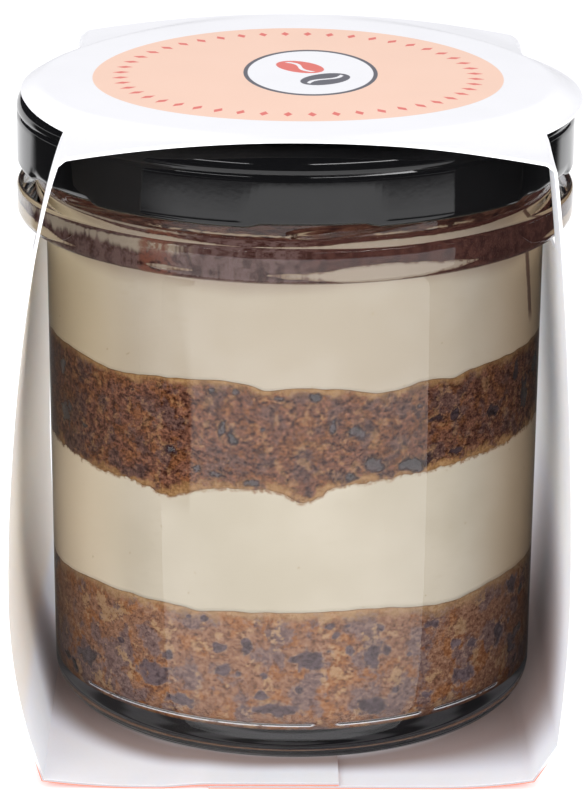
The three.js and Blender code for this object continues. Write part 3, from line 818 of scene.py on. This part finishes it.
def long_bend(t, start, first, second, end):
    """The same with two corners."""
    shares = (1 - t) ** 3, 3 * t * (1 - t) ** 2, 3 * t**2 * (1 - t), t**3
    return shares[0] * start + shares[1] * first + shares[2] * second + shares[3] * end


def side_x(panel, y, height):
    """How far out a side panel stands at a height: it bellies between knee and fold."""
    (knee_x, knee_z), (belly_x, belly_z) = panel["knee"], panel["belly"]
    belt = belly_x + panel["side"] * (BELLY_BOW * inwards(y) - panel["tuck"] * soft_step(y / HALF_DEPTH))
    top_x = fold_x(panel, y)
    top_z = top_at(top_x, y)
    crease_x, crease_z = panel["fold"] + panel["side"] * CREASE_OUT, top_z - CREASE_DOWN
    shoulder = crease_x + (belt - crease_x) * panel["shoulder"]
    t = np.linspace(0, 1, 60)
    low_x, low_z = bend(t, knee_x, belt, belt), bend(t, knee_z, belly_z - 12, belly_z)
    high_x = long_bend(t, belt, belt, shoulder, crease_x)
    high_z = long_bend(t, belly_z, belly_z + 19, crease_z - 15, crease_z)
    heights = np.concatenate([low_z, high_z[1:], [top_z]])
    return np.interp(height, heights, np.concatenate([low_x, high_x[1:], [top_x]]))


def across_depth(panel):
    """Places from the front end of the sleeve to its back end, with the hole's edges."""
    half = hole_half(panel)
    front = np.linspace(-HALF_DEPTH, -half, 25)[:-1]
    hole = -half * np.cos(np.pi * np.arange(61) / 60)
    return np.concatenate([front, hole, -front[::-1]])


def fold_rounding(panel, places):
    """How round the fold is: sharp where it ends at the hole."""
    return soft_step((np.abs(places) - hole_half(panel)) / FOLD_ROUND_RUN) * FOLD_ROUND


def side_rows(panel):
    half, places = hole_half(panel), across_depth(panel)
    rounded = fold_rounding(panel, places)
    soft = CREASE_DOWN - 0.25
    rows = []
    for t in np.linspace(0, 1, 41):
        end = HOLE_CORNER_HEIGHT - HOLE_DROP * np.sqrt(np.maximum(0, 1 - (places / half) ** 2))
        height = panel["knee"][1] + (end - panel["knee"][1]) * t
        rows.append([(side_x(panel, y, z), y, z) for y, z in zip(places, height)])

    def beside_hole(point, t):
        """A row above the hole's corners, empty where the hole is."""
        return [None if abs(y) < half - 0.01 else point(y, r, t) for y, r in zip(places, rounded)]

    def upright(y, r, step):
        top = top_at(fold_x(panel, y), y)
        marks = (HOLE_CORNER_HEIGHT, top - CREASE_DOWN - 0.25, top - soft, top - min(r, soft - 0.05))
        height = float(np.interp(step, (0, 18, 21, 24), marks))
        return side_x(panel, y, height), y, height

    def over_fold(y, r, t):
        x = fold_x(panel, y)
        z = top_at(x, y)
        inner_x = x - panel["side"] * r
        below, beside = (side_x(panel, y, z - r), z - r), (inner_x, top_at(inner_x, y))
        bent = bend(t, *(np.array(corner) for corner in (below, (x, z), beside)))
        return bent[0], y, bent[1]

    rows += [beside_hole(upright, step) for step in range(1, 25)]
    return rows + [beside_hole(over_fold, t) for t in (0.25, 0.5, 0.75)]


def top_rows():
    left, right = across_depth(LEFT), across_depth(RIGHT)
    start = fold_x(LEFT, left) + fold_rounding(LEFT, left)
    end = fold_x(RIGHT, right) - fold_rounding(RIGHT, right)
    rows = []
    for t in 0.5 - 0.5 * np.cos(np.pi * np.arange(57) / 56):
        x, y = start + (end - start) * t, left + (right - left) * t
        rows.append(list(zip(x, y, top_height(x, y))))
    return rows


def ear_rows(panel):
    half, places = hole_half(panel), across_depth(panel)

    def on_ear(y, t):
        inner = fold_x(panel, y)
        outer = inner if abs(y) > half - 0.01 else ear_rim(panel, y)
        x = inner + (outer - inner) * t
        return x, y, top_at(x, y)

    shares = np.linspace(0, 1, 13)
    return [[None if abs(y) > half + 0.01 else on_ear(y, t) for y in places] for t in shares]


def flap_rows(panel, cut_edge, over):
    foot_x, foot_z = panel["foot"]
    knee_x, knee_z = panel["knee"]
    places = across_depth(panel)
    rows = []
    for x in np.linspace(cut_edge, foot_x, 33):
        beyond = max(0, (abs(x) - FLAT_REACH) / (abs(foot_x) - FLAT_REACH))
        stacked = over * (CARD + GLUE) * soft_step((x - LAP_END + LAP_RISE) / LAP_RISE)
        z = CARD / 2 + stacked + (foot_z - CARD / 2) * beyond**2
        rows.append([(x, y, z) for y in places])
    for t in (0.25, 0.5, 0.75):
        rows.append([(foot_x + (knee_x - foot_x) * t, y, foot_z + (knee_z - foot_z) * t) for y in places])
    return rows


def card_sheet(sheets):
    """The middle of the card: its points, and triangles that face outwards."""
    points, found, triangles = [], {}, []

    def index(p):
        key = tuple(round(v * 1000) for v in p)
        if key not in found:
            found[key] = len(points)
            points.append(p)
        return found[key]

    for rows, flip in sheets:
        for near, far in zip(rows[:-1], rows[1:]):
            for k in range(len(near) - 1):
                corners = [near[k], far[k], far[k + 1], near[k + 1]]
                if any(p is None for p in corners):
                    continue
                other = corners[0][2] + corners[2][2] < corners[1][2] + corners[3][2]
                ring = [index(p) for p in corners]
                if flip:
                    ring.reverse()
                if other != flip:
                    ring.append(ring.pop(0))
                a, b, c, d = ring
                triangles += [t for t in ((a, b, c), (a, c, d)) if len(set(t)) == 3]
    return np.array(points), np.array(triangles)


def thick_card(points, triangles):
    """Gives the sheet its thickness: outside 0, inside 1 and cut edges 2 by face."""
    a, b, c = (points[triangles[:, k]] for k in range(3))
    flat = np.cross(b - a, c - a)
    flat /= np.maximum(np.linalg.norm(flat, axis=1), 1e-12)[:, None]
    normals = np.zeros_like(points)
    for k in range(3):
        np.add.at(normals, triangles[:, k], flat)
    normals /= np.linalg.norm(normals, axis=1)[:, None]
    count = len(points)
    outside, inside = points + normals * CARD / 2, points - normals * CARD / 2
    faces = triangles.tolist() + (triangles[:, [0, 2, 1]] + count).tolist()
    kinds = [0] * len(triangles) + [1] * len(triangles)
    edges = {(int(s), int(e)) for t in triangles for s, e in ((t[0], t[1]), (t[1], t[2]), (t[2], t[0]))}
    for s, e in sorted(edges):
        if (e, s) not in edges:
            faces.append([s, s + count, e + count, e])
            kinds.append(2)
    outer = np.concatenate([np.ones(count), np.zeros(count)])
    return np.concatenate([outside, inside]), faces, kinds, {"outer": outer}


def printed_card():
    """The coated outside: a peach disc, a ring of small marks, an oval badge with two
    coffee beans, and coral ink under the jar. Painted shade makes the sides a slightly
    greyer white."""
    material, start, place = new_material("printed_card")
    x, y, z = place.parts()
    white, peach = srgb(250, 250, 253), srgb(255, 217, 196)
    coral, grey = srgb(240, 132, 124), srgb(120, 120, 128)
    ink_drift = place.clouds(9.0, detail=2.0) - 0.5
    u, v = x - DISC_CENTRE[0], y - DISC_CENTRE[1]
    radius = (u * u + v * v) ** 0.5
    on_top = z.rise(PRINT_LOWEST, PRINT_LOWEST + 0.5)
    turn = v.math("ARCTAN2", u) * (PRINT_MARKS / (2 * math.pi))
    along = (turn.math("FRACT") - 0.5) * (2 * math.pi * MARK_RING / PRINT_MARKS)
    lozenge = 1 - (abs(along) * 1.6 + abs(radius - MARK_RING) * 0.8).rise(1.0, 1.2)
    u, v = x - BADGE_CENTRE[0], y - BADGE_CENTRE[1]
    oval = ((u / BADGE_HALVES[0]) ** 2 + (v / BADGE_HALVES[1]) ** 2) ** 0.5
    base = painted(
        # Painted shade: the sides below the top are a greyer white.
        z.rise(80, 97).between(srgb(212, 211, 216), white),
        ((1 - radius.rise(DISC_RADIUS - 0.08, DISC_RADIUS + 0.08)) * on_top, peach),
        (lozenge * on_top, coral),
        ((1 - oval.rise(0.995, 1.005)) * on_top, grey),
        ((1 - oval.rise(0.93, 0.942)) * on_top, white),
    )
    for centre_u, centre_v, tilt, ink in ((-1.6, 3.6, 35, coral), (2.2, -4.6, -40, grey)):
        c, s = math.cos(math.radians(tilt)), math.sin(math.radians(tilt))
        p = (u - centre_u) * c + (v - centre_v) * s
        q = (v - centre_v) * c - (u - centre_u) * s
        bean = ((p / BEAN_HALVES[0]) ** 2 + (q / BEAN_HALVES[1]) ** 2) ** 0.5
        split = abs(p - (q * 0.75).math("SINE") * 0.7)
        inside = (1 - split.rise(0.28, 0.42)) * (1 - bean.rise(0.8, 0.84)) * on_top
        base = painted(base, ((1 - bean.rise(0.98, 1.03)) * on_top, ink), (inside, white))
    under_jar, drift = 1 - z.rise(1.9, 2.1), abs(ink_drift) * 0.08
    base = painted(base, (under_jar, srgb(214, 112, 92)), (drift, srgb(226, 224, 228)))
    fibre = place.clouds(0.35, detail=3.0, roughness=0.6)
    cover(start, coat(start, base, ink_drift * 0.1 + 0.42, fibre, strength=0.08, depth=0.00005))
    return material


def plain_card():
    """The bare inside. Light from outside glows through it, warmed on its way, and painted
    warm light tints its left side. A painted brown shade lies beside the jar's foot.
    Gloss on the jar and the lid sees the card dim, the right side more so."""
    material, start, place = new_material("bare_card")
    fibre = place.clouds(0.5, detail=4.0, roughness=0.65, stretch=(1, 1, 0.5))
    cloud = place.clouds(11.0, detail=2.0)
    x, y, z = place.parts()
    right, left = x.math("MAXIMUM", 0.0), (x * -1).math("MAXIMUM", 0.0)
    radius = (x * x + y * y) ** 0.5
    # Painted brown shade beside the jar's foot, reaching further out on the right.
    reach = radius - SHADE_START - right * right * 0.005 - left * 0.08
    fade = right * right * 0.0065 + left * 0.04 + SHADE_WIDTH
    painted_shade_beside_jar = (1 - (reach / fade).rise(0, 1)) * (1 - z.rise(8, 38)) * radius.rise(29, 34)
    dim = x.rise(-10, 10).between(srgb(150, 146, 142), srgb(86, 84, 84))
    base = painted(
        cloud.rise(0.3, 0.7).between(srgb(237, 240, 249), srgb(241, 243, 251)),
        # Painted warm light, bounced from the cream, on the left side.
        ((1 - x.rise(-36, -30)) * z.rise(9, 14) * 0.8, srgb(246, 238, 228)),
        (fibre.rise(0.5, 0.8) * 0.2, srgb(226, 223, 224)),
        (painted_shade_beside_jar * 0.85, srgb(136, 108, 96)),
        (start.ray("glossy"), dim),
    )
    more = {
        "Specular IOR Level": 0.2, "Subsurface Weight": 0.8, "Subsurface Radius": (1.0, 0.9, 0.82),
        "Subsurface Scale": 0.0006,
    }
    cover(start, coat(start, base, fibre * 0.15 + 0.6, fibre, strength=0.15, depth=0.00006, more=more))
    return material


def cut_card():
    """The cut edge: bare fibres, in shade near the table, with coral ink on its rim."""
    material, start, place = new_material("cut_card_edge")
    fibre = place.clouds(0.25, detail=3.0)
    low = 1 - place.parts()[2].rise(2.0, 6.0)
    base = painted(
        fibre.rise(0.3, 0.7).between(srgb(240, 239, 242), srgb(252, 252, 253)),
        (low, srgb(172, 166, 170)),
        (start.mark("outer").rise(0.55, 0.7) * low, srgb(226, 128, 104)),
    )
    cover(start, coat(start, base, fibre * 0.1 + 0.75, fibre, strength=0.2, depth=0.00005))
    return material


sheet = card_sheet([
    (flap_rows(LEFT, FLAP_EDGE, 1) + side_rows(LEFT), False),
    ([side_rows(LEFT)[-1], top_rows()[0]], False),
    (top_rows(), False),
    ([side_rows(RIGHT)[-1], top_rows()[-1]], True),
    (ear_rows(LEFT), True),
    (ear_rows(RIGHT), False),
    (flap_rows(RIGHT, LAP_END, 0) + side_rows(RIGHT), True),
])
points, faces, kinds, marks = thick_card(*sheet)
piece(
    "card_wrap", points, faces, [printed_card(), plain_card(), cut_card()], "card_sleeve",
    marks=marks, face_material=kinds,
)


# TABLE, LIGHT AND CAMERA
# A pale table under soft daylight lamps, seen a little from above. A ring of dark card
# lies on it, which nothing but gloss on the jar and the lid shows.
DARK_INNER, DARK_OUTER, DARK_HEIGHT, DARK_SIDES = 0.07, 1.6, 0.002, 48
CLEAR_LEFT, CLEAR_RIGHT, CLEAR_BEHIND, CLEAR_NEAR, CLEAR_FRONT = 43, 67, 128, 135, 382
JAR_MIDDLE = Vector((0, 0, 0.05))


def staged(name, points, faces, material):
    made = placed(name, mesh_of(name, points, faces, [material]))
    return made


def pale_table():
    material, start, place = new_material("pale_table")
    base = place.clouds(300.0, detail=2.0).between((0.86, 0.86, 0.86), (0.9, 0.9, 0.9))
    cover(start, start.node("ShaderNodeBsdfPrincipled", {}, {
        "Base Color": base, "Roughness": 0.7, "Emission Color": (1, 1, 1), "Emission Strength": 0.3,
    }))
    return material


def dark_ink():
    """Dark paint, clear close round the jar, in front of it between two bearings, and
    behind it."""
    material, start, place = new_material("dark_card")
    x, y, _ = place.parts()
    turn = x.math("ARCTAN2", y * -1) * (180 / math.pi)
    radius = (x * x + y * y) ** 0.5
    left_edge = ((turn + CLEAR_LEFT) / ((radius - 180) * 0.16).math("MAXIMUM", 2.0)).rise(-1, 0)
    between = left_edge * (1 - turn.rise(CLEAR_RIGHT, CLEAR_RIGHT + 3))
    front = between * (1 - radius.rise(CLEAR_FRONT, CLEAR_FRONT + 14))
    near = 1 - radius.rise(CLEAR_NEAR, CLEAR_NEAR + 15)
    behind = abs(turn).rise(CLEAR_BEHIND, CLEAR_BEHIND + 8).math("MAXIMUM", near)
    dark = start.node("ShaderNodeBsdfPrincipled", {}, {"Base Color": (0.02, 0.02, 0.02), "Roughness": 0.9})
    clear = start.node("ShaderNodeBsdfTransparent", {}, {"Color": (1, 1, 1)})
    cover(start, start.node("ShaderNodeMixShader", {}, {0: front.math("MAXIMUM", behind), 1: dark, 2: clear}))
    return material


corners = [(-3, -1.6, 0), (3, -1.6, 0), (3, 3, 0), (-3, 3, 0)]
staged("table_top", corners, [(0, 1, 2, 3)], pale_table())

turns = np.linspace(0, 2 * math.pi, DARK_SIDES, endpoint=False)
rims = [(r * math.sin(t), -r * math.cos(t), DARK_HEIGHT) for r in (DARK_INNER, DARK_OUTER) for t in turns]
pairs = [(k, (k + 1) % DARK_SIDES) for k in range(DARK_SIDES)]
faces = [(k, after, DARK_SIDES + after, DARK_SIDES + k) for k, after in pairs]
dark_card = staged("dark_card", rims, faces, dark_ink())
dark_card.visible_camera = False
dark_card.visible_diffuse = False
dark_card.visible_shadow = False
dark_card.visible_transmission = False


def soft_lamp(name, place, width, height, watts, in_gloss=True):
    """A flat lamp that faces the jar: its place, width and height in metres, and watts."""
    light = bpy.data.lights.new(name, "AREA")
    light.shape = "RECTANGLE"
    light.size, light.size_y = width, height
    light.energy = watts
    made = placed(name, light)
    made.location = place
    made.rotation_euler = (JAR_MIDDLE - Vector(place)).to_track_quat("-Z", "Y").to_euler()
    made.visible_glossy = in_gloss


soft_lamp("front", (-0.35, -1.4, 0.3), 0.7, 0.5, 7.0, in_gloss=False)
soft_lamp("front_right", (0.8, -1.1, 0.5), 0.9, 0.7, 4.6, in_gloss=False)
soft_lamp("front_left", (-0.95, -1.0, 0.45), 0.9, 0.7, 3.6, in_gloss=False)
soft_lamp("strip_right", (0.62, -1.08, 0.95), 1.1, 0.08, 3.0)
soft_lamp("strip_left", (-0.75, -0.95, 0.8), 0.8, 0.06, 1.2)

world = bpy.data.worlds.new("studio")
bpy.context.scene.world = world
world.use_nodes = True
world.node_tree.nodes.clear()
studio = Wire(world.node_tree)
room = studio.ray("glossy").between((0.96, 0.96, 0.98), (0.03, 0.03, 0.035))
sky = studio.ray("camera").between(room, (1, 1, 1))
background = studio.node("ShaderNodeBackground", {}, {"Color": sky, "Strength": 1.0})
studio.node("ShaderNodeOutputWorld", {}, {"Surface": background})

CAMERA_PLACE = (-0.00704, -0.59784, 0.23963)
YAW, PITCH, ROLL = math.radians(0.65), math.radians(-17.74), math.radians(0.42)
lens = bpy.data.cameras.new("camera")
lens.lens, lens.sensor_width = 177.96, 36.0
camera = placed("camera", lens)
level = Matrix.Translation(CAMERA_PLACE) @ Matrix.Rotation(-YAW, 4, "Z")
camera.matrix_world = level @ Matrix.Rotation(math.pi / 2 + PITCH, 4, "X") @ Matrix.Rotation(ROLL, 4, "Z")
bpy.context.scene.camera = camera
bpy.context.scene.view_settings.view_transform = "Standard"
